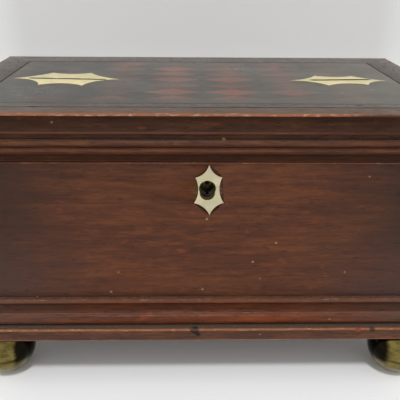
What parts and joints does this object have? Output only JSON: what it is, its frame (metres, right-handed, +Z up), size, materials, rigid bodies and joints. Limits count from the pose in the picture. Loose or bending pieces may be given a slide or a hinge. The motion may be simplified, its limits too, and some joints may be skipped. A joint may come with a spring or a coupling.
{
  "type": "tea caddy",
  "caption": "Footed mahogany tea caddy with a moulded hinged lid, parquetry top, bone slot plates and a front lock.",
  "frame": {"origin": "on the ground, under the middle of the box's outer size", "axes": "+X to the right along the front, +Y from the front to the back, +Z up"},
  "size_m": [0.21, 0.1218, 0.1248],
  "materials": {
    "mahogany_front": "french polished",
    "mahogany_carcase": "french polished",
    "pine_bottom": "planed",
    "mahogany_moulding": "french polished",
    "brass_polished": "polished",
    "tea_foil": "dull foil",
    "bone": "rubbed",
    "brass_lock": "filed, dull",
    "steel_parts": "filed",
    "brass_screws": "turned",
    "mahogany_border": "french polished",
    "mahogany_rim": "french polished",
    "red_veneer": "french polished",
    "dark_veneer": "french polished",
    "lining_paper": "matt paper"
  },
  "bodies": {
    "carcase": {"base_board": "mahogany_carcase", "bottom_board": "pine_bottom", "front_board": "mahogany_front", "back_board": "mahogany_carcase", "left_board": "mahogany_carcase", "right_board": "mahogany_carcase", "partition": "mahogany_carcase", "base_moulding_front": "mahogany_moulding", "base_moulding_left": "mahogany_moulding", "base_moulding_right": "mahogany_moulding", "foot_front_left": "brass_polished", "foot_front_right": "brass_polished", "foot_back_left": "brass_polished", "foot_back_right": "brass_polished", "lining_left": "tea_foil", "lining_right": "tea_foil", "escutcheon": "bone", "lock_plate": "brass_lock", "lock_case": "brass_lock", "lock_drill_pin": "steel_parts", "lock_spring": "steel_parts", "lock_screws": "brass_screws", "hinge_carcase_leaf_left": "brass_lock", "hinge_carcase_leaf_right": "brass_lock", "hinge_pin_left": "brass_screws", "hinge_pin_right": "brass_screws", "hinge_carcase_screws": "brass_screws"},
    "lid": {"lid_border_front": "mahogany_border", "lid_border_back": "mahogany_border", "lid_border_left": "mahogany_border", "lid_border_right": "mahogany_border", "lid_panel": "mahogany_rim", "parquetry_red_lozenges": "red_veneer", "parquetry_dark_lozenges": "dark_veneer", "slot_plate_left": "bone", "slot_plate_right": "bone", "lid_rim_front": "mahogany_rim", "lid_rim_back": "mahogany_rim", "lid_rim_left": "mahogany_rim", "lid_rim_right": "mahogany_rim", "lid_bead_front": "mahogany_moulding", "lid_bead_left": "mahogany_moulding", "lid_bead_right": "mahogany_moulding", "lid_lining": "lining_paper", "link_plate": "brass_lock", "link_plate_screws": "brass_screws", "hinge_lid_leaf_left": "brass_lock", "hinge_lid_leaf_right": "brass_lock", "hinge_lid_screws": "brass_screws"},
    "lock_bolt": {"lock_bolt": "brass_lock"}
  },
  "joints": [
    {"name": "lid_hinge", "type": "hinge", "parent": "carcase", "child": "lid", "pos_m": [0, 0.0589, 0.1046], "axis": [-1, 0, 0], "range_deg": [0, 100]},
    {"name": "lock_bolt_slide", "type": "slide", "parent": "carcase", "child": "lock_bolt", "axis": [1, 0, 0], "range_m": [0, 0.004]}
  ]
}
